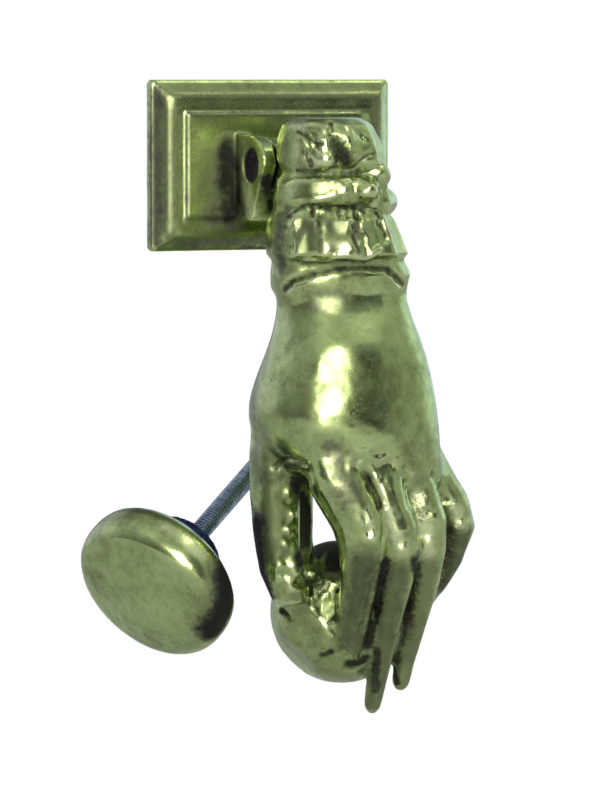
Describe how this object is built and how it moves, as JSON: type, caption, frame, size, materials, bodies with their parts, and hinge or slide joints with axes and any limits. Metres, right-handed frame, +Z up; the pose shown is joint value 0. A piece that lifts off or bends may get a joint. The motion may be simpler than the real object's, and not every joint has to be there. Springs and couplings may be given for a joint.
{
  "type": "hand door knocker",
  "caption": "Cast brass hand with a ruffled cuff that holds a ball and swings on a pin from a moulded plate, with its strike knob.",
  "frame": {"origin": "middle of the plate's back face, on the door's face, at the height of the hinge pin", "axes": "+Z up along the hanging hand, +Y into the door, +X to the right of someone facing the door"},
  "size_m": [0.1146, 0.0595, 0.1858],
  "materials": {
    "antique_brass": "worn polish with dark patina in the recesses",
    "iron_pin": "dark oxidised iron",
    "zinc_steel": "bluish zinc plating"
  },
  "bodies": {
    "plate": {"back_plate": "antique_brass", "hinge_pin": "iron_pin", "strike_knob": "antique_brass", "strike_stud": "zinc_steel"},
    "hand": {"knocker_hand": "antique_brass"}
  },
  "joints": [
    {"name": "hand_swing", "type": "hinge", "parent": "plate", "child": "hand", "pos_m": [0, -0.0162, 0], "axis": [-1, 0, 0], "range_deg": [0, 66]}
  ]
}
